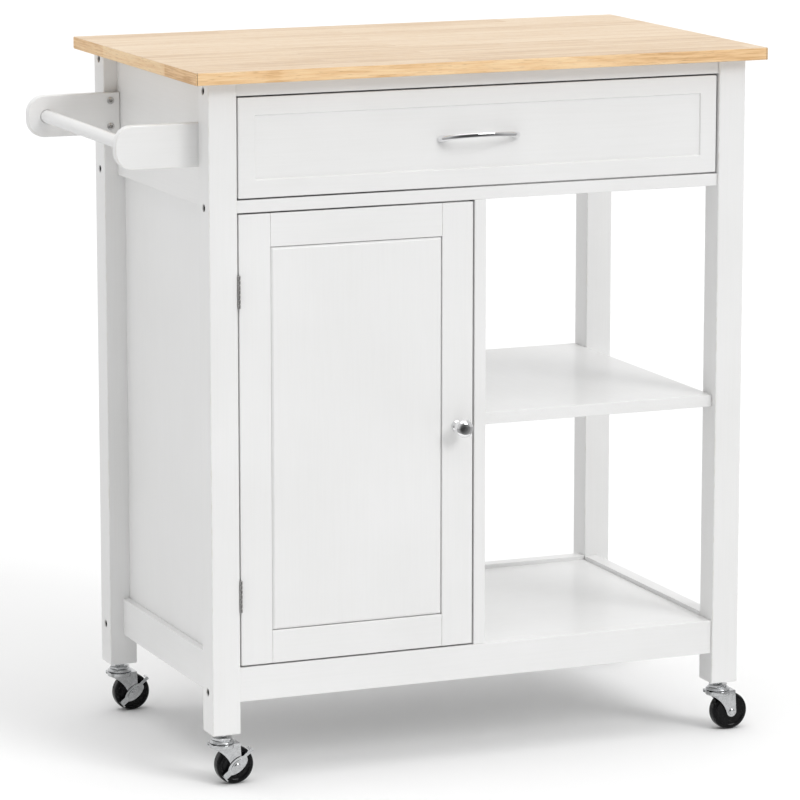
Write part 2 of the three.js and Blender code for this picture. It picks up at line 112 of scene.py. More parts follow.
class Graph:
    """A Principled material, built node by node in object coordinates. Noise scales are per metre."""

    def __init__(self, name):
        self.material = bpy.data.materials.new(name)
        self.material.use_nodes = True
        self.tree = self.material.node_tree
        self.shader = self.tree.nodes["Principled BSDF"]
        self.position = self.node("TexCoord").outputs["Object"]

    def put(self, node, socket, value):
        if isinstance(value, bpy.types.NodeSocket):
            self.tree.links.new(value, node.inputs[socket])
        else:
            node.inputs[socket].default_value = value

    def node(self, kind, sockets=None, **settings):
        made = self.tree.nodes.new("ShaderNode" + kind)
        for setting, value in settings.items():
            setattr(made, setting, value)
        for socket, value in (sockets or {}).items():
            self.put(made, socket, value)
        return made

    def stretched(self, stretch, vector=None):
        return self.node("Mapping", {"Vector": vector or self.position, "Scale": stretch}).outputs[0]

    def noise(self, scale, stretch=(1, 1, 1), detail=3.0, distortion=0.0, vector=None):
        sockets = {"Vector": self.stretched(stretch, vector), "Scale": scale,
                   "Detail": detail, "Distortion": distortion}
        return self.node("TexNoise", sockets).outputs["Fac"]

    def math(self, operation, first, second=0.5, third=0.5):
        return self.node("Math", {0: first, 1: second, 2: third}, operation=operation).outputs[0]

    def spread(self, value, start, end, low, high):
        """The value's range from start to end, stretched over low to high."""
        sockets = {"Value": value, "From Min": start, "From Max": end, "To Min": low, "To Max": high}
        return self.node("MapRange", sockets).outputs["Result"]

    def ramp(self, factor, stops):
        made = self.node("ValToRGB", {"Fac": factor})
        set_stops(made, stops)
        return made.outputs["Color"]

    def mix(self, factor, first, second, blend="MIX"):
        first = first if isinstance(first, bpy.types.NodeSocket) else (*first, 1)
        second = second if isinstance(second, bpy.types.NodeSocket) else (*second, 1)
        sockets = {0: factor, 6: first, 7: second}
        return self.node("Mix", sockets, data_type="RGBA", blend_type=blend).outputs[2]

    def bump(self, height, distance):
        return self.node("Bump", {"Height": height, "Distance": distance, "Strength": 1.0}).outputs[0]

    def finish(self, **sockets):
        for socket, value in sockets.items():
            self.put(self.shader, socket.replace("_", " "), value)
        return self.material


def along_axis(axis, amount):
    stretch = [1.0, 1.0, 1.0]
    stretch[axis] = amount
    return stretch


def paint(axis):
    """Satin white paint over wood: fine grain lines along one axis, a light orange peel, rubbed edges."""
    graph = Graph("white_paint_" + "xyz"[axis])
    grain = graph.noise(430, along_axis(axis, 0.03), detail=5)
    peel = graph.noise(700, detail=2)
    cloud = graph.noise(6, detail=2)
    tone = graph.ramp(cloud, [(0.3, (0.80, 0.80, 0.795)), (0.7, (0.83, 0.83, 0.828))])
    streaks = graph.ramp(grain, [(0.35, (0.988, 0.988, 0.986)), (0.6, (1, 1, 1))])
    tone = graph.mix(1.0, tone, streaks, "MULTIPLY")
    edge = graph.node("Attribute", attribute_name="edge").outputs["Fac"]
    rubbed = graph.math("MULTIPLY", edge, graph.spread(graph.noise(70), 0.48, 0.7, 0.0, 0.8))
    colour = graph.mix(rubbed, tone, (0.74, 0.72, 0.68))
    height = graph.math("MULTIPLY_ADD", peel, 0.35, grain)
    return graph.finish(
        Base_Color=colour,
        Roughness=graph.spread(graph.noise(55), 0.3, 0.7, 0.33, 0.40),
        Normal=graph.bump(height, 0.015 * MM),
        Coat_Weight=0.35,
        Coat_Roughness=0.12,
    )


# The top face's tones are creamier and less saturated than the edge tones of the same wood: a painted sheen
# that stands in for the top's grazing reflection.
TOP_TONES_WITH_PAINTED_SHEEN = ((0.77, 0.61, 0.43), (0.70, 0.52, 0.335), (0.55, 0.37, 0.21))
EDGE_TONES = ((0.90, 0.66, 0.39), (0.82, 0.54, 0.28), (0.60, 0.34, 0.14))
FACE_STREAK = 0.018
EDGE_STREAK = 0.045


def wood_fibre(graph, axis, laid, shade, tones, streak):
    """Colour and height of fibres, figure and pores along one axis. A low streak makes long fibres."""
    figure = graph.noise(60, along_axis(axis, 0.05), detail=3, distortion=0.8, vector=laid)
    fibre = graph.noise(520, along_axis(axis, streak), detail=6, distortion=0.3, vector=laid)
    pores = graph.noise(1500, along_axis(axis, 0.05), detail=1, vector=laid)
    blend = graph.math("MULTIPLY_ADD", figure, 0.45, graph.math("MULTIPLY", fibre, 0.55))
    blend = graph.math("ADD", blend, shade)
    colour = graph.ramp(blend, list(zip((0.38, 0.52, 0.66), tones)))
    pore = graph.spread(pores, 0.62, 0.74, 0.0, 0.5)
    colour = graph.mix(pore, colour, (0.42, 0.23, 0.10))
    height = graph.math("MULTIPLY_ADD", pore, -0.8, fibre)
    return colour, height


def lacquered(graph, colour, height):
    return graph.finish(
        Base_Color=colour,
        Roughness=graph.spread(graph.noise(90), 0.3, 0.7, 0.42, 0.54),
        Normal=graph.bump(height, 0.06 * MM),
        Coat_Weight=0.12,
        Coat_Roughness=0.3,
    )


def wood_staves(name, stave_length, stave_width):
    """Staves along X, joined end to end and side by side, each with its own tint and figure."""
    graph = Graph(name)
    sockets = {
        "Vector": graph.position, "Scale": 1.0, "Mortar Size": 0.0,
        "Color1": (0, 0, 0, 1), "Color2": (1, 1, 1, 1), "Mortar": (0.5, 0.5, 0.5, 1),
        "Brick Width": stave_length, "Row Height": stave_width,
    }
    brick = graph.node("TexBrick", sockets, offset=STAVE_STAGGER)
    tint = graph.node("RGBToBW", {"Color": brick.outputs["Color"]}).outputs[0]
    shift = graph.node("CombineXYZ", {"X": graph.math("MULTIPLY", tint, 3.0), "Z": tint}).outputs[0]
    laid = graph.node("VectorMath", {0: graph.position, 1: shift}, operation="ADD").outputs[0]
    shade = graph.spread(tint, 0.0, 1.0, -0.08, 0.05)
    # The top face takes the creamier tones, which hold a painted sheen.
    return lacquered(graph, *wood_fibre(graph, 0, laid, shade, TOP_TONES_WITH_PAINTED_SHEEN, FACE_STREAK))


def wood_front_edge(name, joint_x):
    """An edge strip along X with a darker finger joint near one end."""
    finger_height = 2.2 * MM
    graph = Graph(name)
    place = graph.node("SeparateXYZ", {"Vector": graph.position})
    fingers = graph.math("PINGPONG", place.outputs["Z"], finger_height)
    offset = graph.math("ABSOLUTE", graph.math("SUBTRACT", place.outputs["X"], joint_x))
    reach = graph.math("MULTIPLY_ADD", fingers, 3.0, offset)
    joint = graph.spread(reach, 10 * MM, 15 * MM, 0.06, 0.0)
    block = graph.spread(graph.noise(5, (1, 0, 0), detail=0), 0.35, 0.65, -0.03, 0.04)
    shade = graph.math("ADD", joint, block)
    return lacquered(graph, *wood_fibre(graph, 0, graph.position, shade, EDGE_TONES, EDGE_STREAK))


def wood_side_edge(name, half_depth):
    """An edge strip along Y whose middle half is lighter than its ends."""
    graph = Graph(name)
    place = graph.node("SeparateXYZ", {"Vector": graph.position})
    out = graph.math("ABSOLUTE", place.outputs["Y"])
    shade = graph.spread(out, half_depth * 0.49, half_depth * 0.51, -0.07, 0.05)
    return lacquered(graph, *wood_fibre(graph, 1, graph.position, shade, EDGE_TONES, EDGE_STREAK))


def plated(name, colour, roughness, mottle, scratch_axis):
    """Plated metal with a faint mottle, fine scratches and uneven gloss."""
    graph = Graph(name)
    cells = graph.node("TexVoronoi", {"Vector": graph.position, "Scale": 900.0}, distance="EUCLIDEAN")
    cell = graph.node("RGBToBW", {"Color": cells.outputs["Color"]}).outputs[0]
    blotch = graph.math("MULTIPLY_ADD", cell, 0.4, graph.math("MULTIPLY", graph.noise(180), 0.6))
    dark = [channel * (1 - mottle) for channel in colour]
    scratches = graph.noise(2600, along_axis(scratch_axis, 0.05), detail=3)
    return graph.finish(
        Base_Color=graph.ramp(blotch, [(0.25, dark), (0.75, colour)]),
        Metallic=1.0,
        Roughness=graph.spread(scratches, 0.3, 0.7, roughness * 0.8, roughness * 1.25),
        Normal=graph.bump(scratches, 0.004 * MM),
    )


def moulded(name, colour, roughness, specular):
    """Moulded plastic with a fine skin and light scuffs."""
    graph = Graph(name)
    skin = graph.noise(2200, detail=2)
    scuffs = graph.noise(140, detail=4)
    worn = [channel * 1.6 + 0.004 for channel in colour]
    return graph.finish(
        Base_Color=graph.ramp(scuffs, [(0.45, colour), (0.8, worn)]),
        Roughness=graph.spread(scuffs, 0.35, 0.75, roughness * 0.85, roughness * 1.5),
        Normal=graph.bump(skin, 0.01 * MM),
        Specular_IOR_Level=specular,
    )


def pale_floor():
    graph = Graph("pale_floor")
    tone = graph.ramp(graph.noise(0.4, detail=2), [(0.3, (0.90, 0.90, 0.90)), (0.7, (0.92, 0.92, 0.92))])
    return graph.finish(Base_Color=tone, Roughness=0.95, Specular_IOR_Level=0.0)


TOP_LOW, TOP_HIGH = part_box("worktop")
TOP_WIDTH = TOP_HIGH.x - TOP_LOW.x
PAINT = [paint(axis) for axis in range(3)]
WOOD = [
    wood_staves("worktop_staves", STAVE_LENGTH, STAVE_WIDTH),
    wood_front_edge("worktop_front_edge", TOP_LOW.x + TOP_WIDTH * FINGER_JOINT_SHARE),
    wood_side_edge("worktop_side_edge", (TOP_HIGH.y - TOP_LOW.y) / 2),
]
CHROME = plated("chrome", (0.88, 0.88, 0.89), roughness=0.07, mottle=0.03, scratch_axis=0)
ZINC = plated("zinc_plate", (0.62, 0.63, 0.64), roughness=0.16, mottle=0.35, scratch_axis=2)
STEEL = plated("hinge_steel", (0.62, 0.61, 0.60), roughness=0.3, mottle=0.15, scratch_axis=2)
BOLT = plated("bolt_steel", (0.07, 0.07, 0.075), roughness=0.36, mottle=0.3, scratch_axis=2)
BLACK = moulded("wheel_black", (0.003, 0.003, 0.0035), roughness=0.17, specular=0.14)
CATCH = moulded("catch_plastic", (0.76, 0.76, 0.74), roughness=0.45, specular=0.4)
METALS = {"chrome": CHROME, "zinc_plate": ZINC, "hinge_steel": STEEL}


# ---------------------------------------------------------------- mesh tools

def box_mesh(low, high):
    bm = bmesh.new()
    bmesh.ops.create_cube(bm, size=1)
    size = Vector(high) - Vector(low)
    middle = (Vector(high) + Vector(low)) / 2
    bm.transform(Matrix.Translation(middle) @ Matrix.Diagonal((*size, 1)))
    return bm


def round_edges(bm, width, segments=2, edges=None):
    """Bevels the edges, and marks the points that lie on none of the flat faces as edge."""
    made = bmesh.ops.bevel(bm, geom=edges or bm.edges[:], offset=width, offset_type="OFFSET",
                           segments=segments, profile=0.5, affect="EDGES", clamp_overlap=True)
    bevel_faces = set(made["faces"])
    layer = bm.verts.layers.float.new("edge")
    for vert in bm.verts:
        vert[layer] = float(all(face in bevel_faces for face in vert.link_faces))


def bend(start, corner, end, t):
    """A point on the curve from start to end that is drawn towards the corner."""
    return start * (1 - t) ** 2 + corner * 2 * t * (1 - t) + end * t * t


def rounded(points, radius, closed=True, steps=5):
    """The outline with each corner turned into a short curve."""
    points = [Vector(point) for point in points]
    curve = []
    for i, here in enumerate(points):
        if not closed and i in (0, len(points) - 1):
            curve.append(here)
            continue
        before = points[i - 1] - here
        after = points[(i + 1) % len(points)] - here
        start = here + before.normalized() * min(radius, before.length * 0.49)
        end = here + after.normalized() * min(radius, after.length * 0.49)
        curve += [bend(start, here, end, step / steps) for step in range(steps + 1)]
    return curve


def arc(centre, radius, start, end, steps=16):
    angles = [start + (end - start) * i / steps for i in range(steps + 1)]
    return [(centre[0] + radius * math.cos(a), centre[1] + radius * math.sin(a)) for a in angles]


def full_turn(steps):
    return [2 * math.pi * i / steps for i in range(steps)]


def oval(half_width, half_height, middle=0, steps=64):
    """A closed outline whose middle is that far along its first axis."""
    return [(middle + half_width * math.cos(a), half_height * math.sin(a)) for a in full_turn(steps)]


def cylinder(radius, low, high):
    """The profile of a plain cylinder, for the lathe."""
    return [(0, low), (radius, low), (radius, high), (0, high)]


def prism(outline, axis, low, high):
    """A closed outline pulled out along an axis. Its two coordinates are the other axes, in order."""
    def point(pair, place):
        values = list(pair)
        values.insert(axis, place)
        return values
    bm = bmesh.new()
    near = [bm.verts.new(point(pair, low)) for pair in outline]
    far = [bm.verts.new(point(pair, high)) for pair in outline]
    bm.faces.new(near)
    bm.faces.new(far[::-1])
    for i in range(len(near)):
        bm.faces.new((near[i - 1], near[i], far[i], far[i - 1]))
    bmesh.ops.recalc_face_normals(bm, faces=bm.faces)
    return bm


def rings_mesh(rings, closed_path, caps):
    """Skins a row of equal loops."""
    bm = bmesh.new()
    loops = [[bm.verts.new(point) for point in ring] for ring in rings]
    pairs = list(zip(loops, loops[1:]))
    if closed_path:
        pairs.append((loops[-1], loops[0]))
    for first, second in pairs:
        for i in range(len(first)):
            bm.faces.new((first[i - 1], first[i], second[i], second[i - 1]))
    if caps:
        bm.faces.new(loops[0])
        bm.faces.new(loops[-1])
    bmesh.ops.recalc_face_normals(bm, faces=bm.faces)
    return bm


def lathe(profile, segments=64):
    """Turns (radius, height) points about Z. A profile that starts off the axis closes on itself."""
    closed = profile[0][0] > 0
    rings = []
    for radius, height in profile:
        rings.append([(radius * math.cos(a), radius * math.sin(a), height) for a in full_turn(segments)])
    bm = rings_mesh(rings, closed, False)
    bmesh.ops.remove_doubles(bm, verts=bm.verts, dist=1e-7)
    bmesh.ops.recalc_face_normals(bm, faces=bm.faces)
    return bm


def add(name, bm, materials, place=None):
    """The mesh as an object in the row frame, after the transform that puts it there."""
    if place is not None:
        bm.transform(place)
    mesh = bpy.data.meshes.new(name)
    bm.to_mesh(mesh)
    bm.free()
    mesh.polygons.foreach_set("use_smooth", [True] * len(mesh.polygons))
    for material in materials if isinstance(materials, list) else [materials]:
        mesh.materials.append(material)
    piece = bpy.data.objects.new(name, mesh)
    bpy.context.scene.collection.objects.link(piece)
    return piece


def combine(piece, cutters, operation="DIFFERENCE"):
    """Joins or cuts the other objects' shapes into the piece, which keeps only the result."""
    for cutter in cutters:
        step = piece.modifiers.new("combine", "BOOLEAN")
        step.operation = operation
        step.solver = "EXACT"
        step.object = cutter
    bpy.context.view_layer.update()
    evaluated = piece.evaluated_get(bpy.context.evaluated_depsgraph_get())
    result = bpy.data.meshes.new_from_object(evaluated)
    piece.modifiers.clear()
    piece.data = result
    for cutter in cutters:
        bpy.data.objects.remove(cutter)
    return piece


def soften(piece, width, segments=2, angle=40):
    """Small bevels on a cut shape's sharp edges."""
    step = piece.modifiers.new("soft_edges", "BEVEL")
    step.width = width
    step.segments = segments
    step.limit_method = "ANGLE"
    step.angle_limit = math.radians(angle)
    step.use_clamp_overlap = True
    return piece


def settle(piece, body, slot, *nodes):
    """Shades the piece cleanly, hangs it on its body and hides the CAD nodes that it stands for. The slot
    is not used.
    """
    step = piece.modifiers.new("flat_faces", "WEIGHTED_NORMAL")
    step.keep_sharp = True
    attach(piece, body)
    if nodes:
        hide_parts(*nodes)
    return piece


def settle_for(piece, node):
    return settle(piece, BODY_OF[node], SLOT_OF[node], node)


def paint_for(low, high):
    """The paint whose grain runs along the longest side."""
    size = list(high - low)
    return PAINT[size.index(max(size))]


def board(node, bevel):
    low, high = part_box(node)
    bm = box_mesh(low, high)
    round_edges(bm, bevel)
    return settle_for(add(node + "_board", bm, paint_for(low, high)), node)


def aimed(centre, axis):
    """The transform that puts a shape made in millimetres on the centre, with its Z along the axis."""
    facing = Vector(axis).to_track_quat("Z", "Y").to_matrix().to_4x4()
    return Matrix.Translation(centre) @ facing @ Matrix.Diagonal((MM, MM, MM, 1))


def turned(name, profile, material, centre, axis, segments=64):
    """A lathe piece whose profile heights run from the centre along an axis, sizes in millimetres."""
    return add(name, lathe(profile, segments), material, aimed(centre, axis))


# ---------------------------------------------------------------- carcass

def make_worktop():
    """A slab with a fine seam down its front and back faces at each end, where the edge strips meet."""
    bm = box_mesh(TOP_LOW, TOP_HIGH)
    round_edges(bm, WORKTOP_ROUND, 3)
    for face in bm.faces:
        across, deep, up = (abs(value) for value in face.normal)
        face.material_index = 0 if up > max(across, deep) else (1 if deep >= across else 2)
    top = add("worktop_slab", bm, WOOD)
    seam_width = 0.8 * MM
    seam_depth = 1.6 * MM
    inset = 1.6 * MM
    front = (TOP_LOW.y - MM, TOP_LOW.y + seam_depth)
    back = (TOP_HIGH.y - seam_depth, TOP_HIGH.y + MM)
    seams = []
    for middle in (TOP_LOW.x + inset, TOP_HIGH.x - inset):
        for near, far in (front, back):
            low = (middle - seam_width / 2, near, TOP_LOW.z - MM)
            high = (middle + seam_width / 2, far, TOP_HIGH.z + MM)
            seams.append(add("seam", box_mesh(low, high), WOOD))
    settle_for(combine(top, seams), "worktop")


def hex_bolt(name, centre, axis, radius):
    """A socket-head bolt's head with a hexagonal recess, its face at the centre and its body behind."""
    wide = radius / MM
    tall = wide * 0.9
    profile = rounded(cylinder(wide, -tall, 0), wide * 0.16, closed=False)
    head = turned(name, profile, BOLT, centre, axis, 40)
    socket = turned("socket", cylinder(wide * 0.55, -tall * 0.7, tall), BOLT, centre, axis, 6)
    return combine(head, [socket])


def make_legs():
    """Posts with a bore for the caster's stem and a lipped hole for each frame bolt."""
    hole = LEG_BOLT_RADIUS / MM
    lip = 0.5
    depth = LEG_BOLT_DEPTH / MM
    hole_profile = [(0, -depth), (hole, -depth), (hole, -lip), (hole + lip, 0), (hole + lip, 2), (0, 2)]
    stem_profile = cylinder(STEM_BORE_RADIUS / MM, -2, STEM_BORE_DEPTH / MM)
    head_radius = 4.1 * MM
    head_set_back = 0.9 * MM
    for side, outward in (("left", -1), ("right", 1)):
        for end in ("front", "back"):
            node = f"leg_{end}_{side}"
            low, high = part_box(node)
            middle = (low + high) / 2
            bm = box_mesh(low, high)
            round_edges(bm, LEG_ROUND, 3)
            post = add(node + "_post", bm, PAINT[2])
            face_x = high.x if outward > 0 else low.x
            foot = (middle.x, middle.y, low.z)
            cutters = [turned("stem_bore", stem_profile, PAINT[2], foot, (0, 0, 1), 32)]
            for height in LEG_BOLT_HEIGHTS:
                centre = Vector((face_x, middle.y, height))
                cutters.append(turned("bolt_hole", hole_profile, PAINT[2], centre, (outward, 0, 0), 40))
            settle_for(combine(post, cutters), node)
            for index, height in enumerate(LEG_BOLT_HEIGHTS):
                centre = Vector((face_x - outward * head_set_back, middle.y, height))
                bolt = hex_bolt(f"{node}_bolt_{index + 1}", centre, (outward, 0, 0), head_radius)
                settle(soften(bolt, 0.15 * MM), "carcass", "zinc_plate")


def make_carcass_boards():
    rails = ["front_top_rail", "front_middle_rail", "front_bottom_rail"]
    for side in ("left", "right", "back"):
        rails += [f"{side}_top_rail", f"{side}_bottom_rail"]
    for node in rails:
        board(node, RAIL_ROUND)
    for node in ("left_side_panel", "cabinet_back_panel"):
        board(node, THIN_PANEL_ROUND)
    for node in ("divider_panel", "bottom_shelf", "middle_shelf", "cabinet_shelf"):
        board(node, SHELF_ROUND)


def make_shelf_pins():
    """Round pins under the ends of the cabinet shelf."""
    low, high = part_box("cabinet_shelf")
    pin = rounded(cylinder(2.5, 0, 8), 0.5, closed=False)
    set_in = 40 * MM
    drop = 2.6 * MM
    for side, x, inward in (("left", low.x, 1), ("right", high.x, -1)):
        for end, y in (("front", low.y + set_in), ("back", high.y - set_in)):
            centre = (x, y, low.z - drop)
            piece = turned(f"shelf_pin_{end}_{side}", pin, ZINC, centre, (inward, 0, 0), 24)
            settle(piece, "carcass", "zinc_plate")


# ---------------------------------------------------------------- drawer

def rectangle(low, high, inset, depth, radius, steps=4):
    """A loop round an XZ rectangle at one Y, drawn in from its edges, with round corners."""
    x0, x1 = low.x + inset, high.x - inset
    z0, z1 = low.z + inset, high.z - inset
    corners = [((x1 - radius, z1 - radius), 0), ((x0 + radius, z1 - radius), math.pi / 2),
               ((x0 + radius, z0 + radius), math.pi), ((x1 - radius, z0 + radius), math.pi * 1.5)]
    loop = []
    for centre, start in corners:
        loop += [(x, depth, z) for x, z in arc(centre, radius, start, start + math.pi / 2, steps)]
    return loop


def make_drawer_front():
    """One board with a raised border and a sunk field."""
    low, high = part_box("drawer_front")
    edge = 1.0 * MM
    crease = 0.3 * MM
    slope = 1.1 * MM
    floor = low.y + DRAWER_RECESS
    foot = DRAWER_MARGIN + slope
    rim = [(edge, high.y), (0, high.y), (0, low.y), (edge * 3, low.y)]
    step = [(DRAWER_MARGIN - edge, low.y), (DRAWER_MARGIN, low.y), (foot, floor), (foot + edge, floor)]
    steps = rounded(rim, edge, closed=False, steps=3) + rounded(step, crease, closed=False, steps=2)
    loops = []
    for inset, y in steps:
        corner = max(1.4 * MM - inset * 0.02, 0.5 * MM)
        loops.append(rectangle(low, high, inset, y, corner))
    front = add("drawer_front_panel", rings_mesh(loops, False, True), PAINT[0])
    settle_for(front, "drawer_front")


def make_drawer_box():
    for node in ("drawer_side_left", "drawer_side_right", "drawer_back"):
        board(node, DRAWER_BOX_ROUND)
    board("drawer_bottom", DRAWER_BOTTOM_ROUND)


def make_pull():
    """A strap that bows out and up between two feet, swept from foot to foot."""
    low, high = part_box("drawer_pull")
    foot_half = 4.5 * MM
    middle_half = 2.75 * MM
    centre = Vector(((low.x + high.x) / 2, high.y, low.z + foot_half))
    half = (high.x - low.x) / 2
    # A curve of this kind reaches three quarters of the way to its handles.
    handle_share = 4 / 3
    bow = (high.y - low.y) * handle_share
    strap = 3.5 * MM
    foot = 11 * MM
    rise = high.z - centre.z - middle_half
    steps = 72
    around = 28

    def bezier(points, t):
        weights = ((1 - t) ** 3, 3 * t * (1 - t) ** 2, 3 * t * t * (1 - t), t ** 3)
        return [sum(w * p[k] for w, p in zip(weights, points)) for k in (0, 1)]

    def squared(value, power):
        """A power under 1 makes the strap's section fuller than an ellipse."""
        return math.copysign(abs(value) ** power, value)

    outer = [(-half, 0), (-half * 0.9, -bow), (half * 0.9, -bow), (half, 0)]
    inner_bow = bow - strap * handle_share
    inner = [(-half + foot, 0), (-half * 0.75, -inner_bow), (half * 0.75, -inner_bow), (half - foot, 0)]
    loops = []
    for i in range(steps + 1):
        t = 0.5 - 0.5 * math.cos(math.pi * i / steps)
        out_x, out_y = bezier(outer, t)
        in_x, in_y = bezier(inner, t)
        towards_middle = 4 * t * (1 - t)
        lift = rise * towards_middle
        tall = foot_half + (middle_half - foot_half) * towards_middle
        loop = []
        for angle in full_turn(around):
            across = squared(math.cos(angle), 0.8) / 2 + 0.5
            up = squared(math.sin(angle), 0.9) * tall
            x = in_x + (out_x - in_x) * across
            y = min(in_y + (out_y - in_y) * across, 0)
            loop.append(centre + Vector((x, y, lift + up)))
        loops.append(loop)
    settle_for(add("drawer_pull_bow", rings_mesh(loops, False, True), CHROME), "drawer_pull")


# ---------------------------------------------------------------- door

def make_door():
    """A frame of four boards round a raised field, with a narrow gap between them."""
    for node in ("door_stile_hinge_side", "door_stile_knob_side", "door_rail_top", "door_rail_bottom"):
        board(node, DOOR_BOARD_ROUND)
    low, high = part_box("door_panel")
    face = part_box("door_rail_top")[0].y + 0.3 * MM
    gap_floor = face + 5 * MM
    gap = 0.8 * MM
    slope = 2.6 * MM
    slope_drop = 1.9 * MM
    corner = 0.05 * MM
    border = [(gap, gap_floor), (gap, face + slope_drop), (gap + slope, face), (gap + slope * 2, face)]
    steps = [(0, high.y), (0, gap_floor)] + rounded(border, 0.3 * MM, closed=False, steps=2)
    loops = [rectangle(low, high, inset, y, corner, 1) for inset, y in steps]
    settle_for(add("door_panel_field", rings_mesh(loops, False, True), PAINT[2]), "door_panel")


def make_knob():
    low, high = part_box("door_knob")
    centre = Vector(((low.x + high.x) / 2, high.y, (low.z + high.z) / 2))
    profile = [(0, 0), (8, 0), (7.6, 1.8), (4.6, 5), (4.1, 11), (5.6, 15.5), (10.2, 17.6),
               (11.5, 20.2), (11.0, 23.8), (7.4, 26.8), (2.5, 27.5), (0, 27.5)]
    profile = rounded(profile, 6, closed=False, steps=6)
    knob = turned("door_knob_turned", profile, CHROME, centre, (0, -1, 0), 72)
    settle_for(knob, "door_knob")


def flat_screw(name, centre, axis, radius, body):
    """A countersunk screw head, flush with the face, with a cross recess."""
    wide = radius / MM
    profile = rounded([(0, -1.6), (wide * 0.4, -1.6), (wide, -0.1), (wide * 0.9, 0.12), (0, 0.16)],
                      0.3, closed=False)
    head = turned(name, profile, STEEL, centre, axis, 32)
    arm_reach = wide * 0.55
    arm_half = wide * 0.12
    arms = []
    for x, y in ((arm_reach, arm_half), (arm_half, arm_reach)):
        arms.append(add("recess", box_mesh((-x, -y, -0.9), (x, y, 1)), STEEL, aimed(centre, axis)))
    return settle(combine(head, arms), body, "hinge_steel")


def make_hinges():
    """Seven solid knuckles about one axis. A leaf is cut back round the knuckles that it doesn't own."""
    knuckles = 7
    gap = 0.45 * MM
    barrel = 1.7 * MM
    clearance = 0.35 * MM
    leaf = 0.9 * MM
    screw_shares = (0.22, 0.78)
    screw_inset = 7 * MM
    screw_radius = 2.4 * MM
    leg_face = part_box("leg_front_left")[1].x
    door_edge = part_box("door_stile_hinge_side")[0].x
    axis_x = (leg_face + door_edge) / 2
    for place in ("upper", "lower"):
        frame_node = f"hinge_{place}_frame_leaf"
        door_node = f"hinge_{place}_door_leaf"
        low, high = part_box(frame_node)
        axis_y = low.y + barrel
        step = (high.z - low.z) / knuckles
        leaf_x = {frame_node: (leg_face, leg_face + leaf), door_node: (door_edge - leaf, door_edge)}
        for node, owned in ((frame_node, 0), (door_node, 1)):
            outline = [(high.y, high.z), (high.y, low.z)]
            for i in range(knuckles):
                near = axis_y if i % 2 == owned else axis_y + barrel + clearance
                outline += [(near, low.z + i * step + gap), (near, low.z + (i + 1) * step - gap)]
            plate = add(node + "_plate", prism(outline, 0, *leaf_x[node]), STEEL)
            parts = []
            for i in range(owned, knuckles, 2):
                shape = rounded(cylinder(barrel, gap, step - gap), 0.5 * MM, closed=False, steps=3)
                centre = Matrix.Translation((axis_x, axis_y, low.z + i * step))
                parts.append(add("knuckle", lathe(shape, 28), STEEL, centre))
            settle_for(soften(combine(plate, parts, "UNION"), 0.12 * MM), node)
            facing = 1 if node == frame_node else -1
            face_x = leaf_x[node][1] if facing > 0 else leaf_x[node][0]
            for index, share in enumerate(screw_shares):
                centre = Vector((face_x, high.y - screw_inset, low.z + (high.z - low.z) * share))
                flat_screw(f"{node}_screw_{index + 1}", centre, (facing, 0, 0), screw_radius, BODY_OF[node])


def from_cad(node, suffix, bevel):
    """The node's own shape with clean faces and softened edges."""
    bm = bmesh.new()
    bm.from_mesh(frame["nodes"][node].data)
    bmesh.ops.remove_doubles(bm, verts=bm.verts, dist=1e-6)
    bmesh.ops.dissolve_limit(bm, angle_limit=math.radians(1), verts=bm.verts, edges=bm.edges)
    piece = add(node + suffix, bm, METALS.get(SLOT_OF[node], CATCH))
    return settle_for(soften(piece, bevel), node)


def make_runners_and_catch():
    for side in ("left", "right"):
        for member in ("outer", "inner"):
            from_cad(f"runner_{side}_{member}", "_rail", 0.25 * MM)
    from_cad("catch_strike", "_plate", 0.2 * MM)
    from_cad("door_catch", "_case", 0.8 * MM)


# ---------------------------------------------------------------- towel rack

def make_rack():
    """Two boards with rounded ends, a bar set into both, and two pan-head bolts through each board."""
    bar_low, bar_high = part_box("rack_bar")
    bar_radius = (bar_high.z - bar_low.z) / 2
    bar_centre = (bar_low + bar_high) / 2
    bar_length = (bar_high.y - bar_low.y) / MM
    bar_profile = rounded(cylinder(bar_radius / MM, 0, bar_length), 0.8, closed=False)
    socket_profile = cylinder(bar_radius / MM + 0.5, -1, bar_length + 1)
    start = Vector((bar_centre.x, bar_low.y, bar_centre.z))
    settle_for(turned("rack_bar_rod", bar_profile, PAINT[1], start, (0, 1, 0)), "rack_bar")
    bolt_inset = 12.5 * MM
    bolt_spread = 16 * MM
    dome = [(0, -3), (2.6, -3), (2.6, 0), (4.6, 0), (4.6, 1.2), (3.0, 2.6), (0, 2.9)]
    dome = rounded(dome, 0.7, closed=False)
    for end, facing in (("front", 1), ("rear", -1)):
        node = f"rack_bracket_{end}"
        low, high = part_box(node)
        corner_x = low.x + RACK_CORNER
        outline = [(high.x, low.z)]
        outline += arc((corner_x, low.z + RACK_CORNER), RACK_CORNER, -math.pi / 2, -math.pi, 20)
        outline += arc((corner_x, high.z - RACK_CORNER), RACK_CORNER, math.pi, math.pi / 2, 20)
        outline.append((high.x, high.z))
        bm = prism(outline, 1, low.y, high.y)
        rims = [edge for edge in bm.edges if abs(edge.verts[0].co.y - edge.verts[1].co.y) < 1e-9]
        round_edges(bm, RACK_ROUND, 3, rims)
        plate = add(node + "_board", bm, PAINT[0])
        combine(plate, [turned("socket", socket_profile, PAINT[0], start, (0, 1, 0))])
        settle_for(plate, node)
        face_y = high.y if facing > 0 else low.y
        for index, offset in enumerate((-bolt_spread, bolt_spread)):
            centre = Vector((high.x - bolt_inset, face_y, bar_centre.z + offset))
            head = turned(f"{node}_bolt_{index + 1}", dome, STEEL, centre, (0, facing, 0), 40)
            recess = turned("recess", cylinder(1.7, 1.0, 6), STEEL, centre, (0, facing, 0), 6)
            settle(combine(head, [recess]), "carcass", "zinc_plate")


# ---------------------------------------------------------------- casters

def in_place(x, y):
    return Matrix.Translation((x, y, 0)) @ Matrix.Diagonal((MM, MM, MM, 1))


